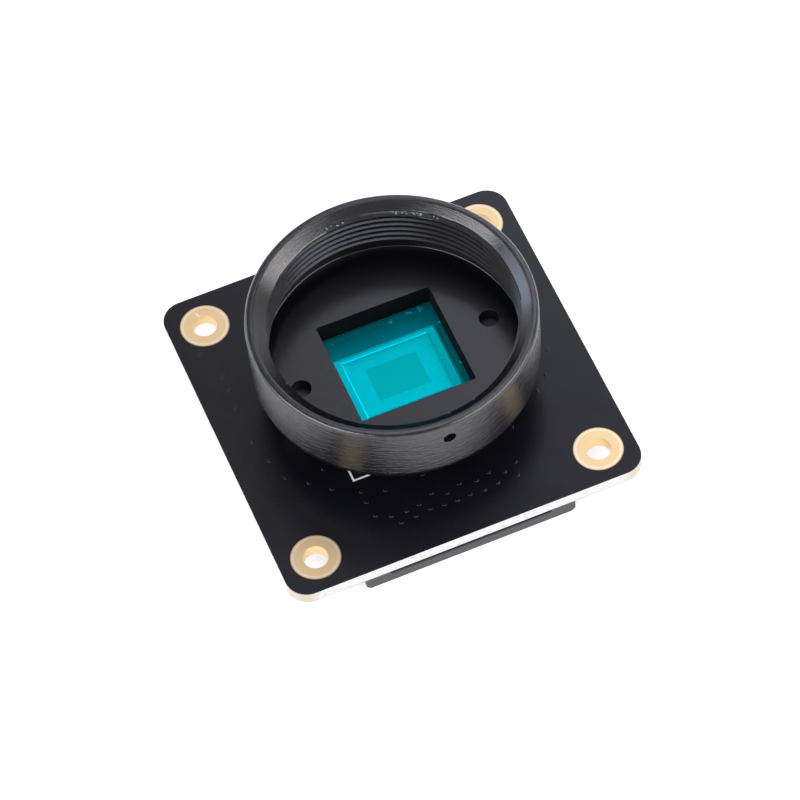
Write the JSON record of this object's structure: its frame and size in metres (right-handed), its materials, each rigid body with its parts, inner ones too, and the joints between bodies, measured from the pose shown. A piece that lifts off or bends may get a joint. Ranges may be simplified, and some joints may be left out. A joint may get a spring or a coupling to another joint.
{
  "type": "board camera module",
  "caption": "Square board camera module with a threaded metal lens mount over an image sensor and a latched flat-cable connector on the back.",
  "frame": {"origin": "centre of the four mounting holes, on the board's front face", "axes": "+Z out of the lens mount, -Y out of the cable connector's mouth"},
  "size_m": [0.0376, 0.0376, 0.0171],
  "materials": {
    "anodised_black": "black anodised, satin",
    "laminate": "routed glass-epoxy edge",
    "solder_mask": "black solder mask, satin",
    "gold_plate": "gold over nickel, satin",
    "screw_steel": "black-oxide steel",
    "filter_glass": "blue-green infrared-cut glass, polished",
    "black_glue": "cured black adhesive",
    "sensor_ceramic": "grey alumina",
    "silicon": "polished silicon",
    "pixel_film": "micro-lens film",
    "seal_glue": "cured adhesive",
    "clear_glass": "polished cover glass",
    "tin_solder": "reflowed solder",
    "housing_plastic": "moulded black nylon",
    "latch_plastic": "moulded, satin",
    "contact_bronze": "tin-plated phosphor bronze",
    "crystal_ceramic": "fired ceramic",
    "lid_steel": "welded nickel-plated lid",
    "tin_plate": "matte tin",
    "mould_compound": "transfer-moulded epoxy",
    "capacitor_ceramic": "fired ceramic",
    "resistor_glaze": "black over-glaze on alumina"
  },
  "bodies": {
    "module": {"lens_mount": "anodised_black", "circuit_board": "laminate", "solder_mask_front": "solder_mask", "solder_mask_back": "solder_mask", "mounting_pads": "gold_plate", "mount_screws": "screw_steel", "ir_filter": "filter_glass", "filter_glue": "black_glue", "sensor_package": "sensor_ceramic", "sensor_die": "silicon", "pixel_array": "pixel_film", "glass_seal": "seal_glue", "cover_glass": "clear_glass", "sensor_solder": "tin_solder", "connector_housing": "housing_plastic", "connector_contacts": "contact_bronze", "connector_tabs": "tin_solder", "crystal_base": "crystal_ceramic", "crystal_lid": "lid_steel", "capacitor_terminals": "tin_plate", "resistor_terminals": "tin_plate", "regulator_1": "mould_compound", "regulator_1_leads": "tin_plate", "regulator_2": "mould_compound", "regulator_2_leads": "tin_plate", "regulator_3": "mould_compound", "regulator_3_leads": "tin_plate", "capacitor_1": "capacitor_ceramic", "capacitor_2": "capacitor_ceramic", "capacitor_3": "capacitor_ceramic", "capacitor_4": "capacitor_ceramic", "capacitor_5": "capacitor_ceramic", "capacitor_6": "capacitor_ceramic", "capacitor_7": "capacitor_ceramic", "capacitor_8": "capacitor_ceramic", "capacitor_9": "capacitor_ceramic", "capacitor_10": "capacitor_ceramic", "resistor_1": "resistor_glaze", "resistor_2": "resistor_glaze", "resistor_3": "resistor_glaze", "resistor_4": "resistor_glaze", "resistor_5": "resistor_glaze", "resistor_6": "resistor_glaze"},
    "latch": {"connector_latch": "latch_plastic"}
  },
  "joints": [
    {"name": "latch_slide", "type": "slide", "parent": "module", "child": "latch", "axis": [0, -1, 0], "range_m": [0, 0.001]}
  ]
}
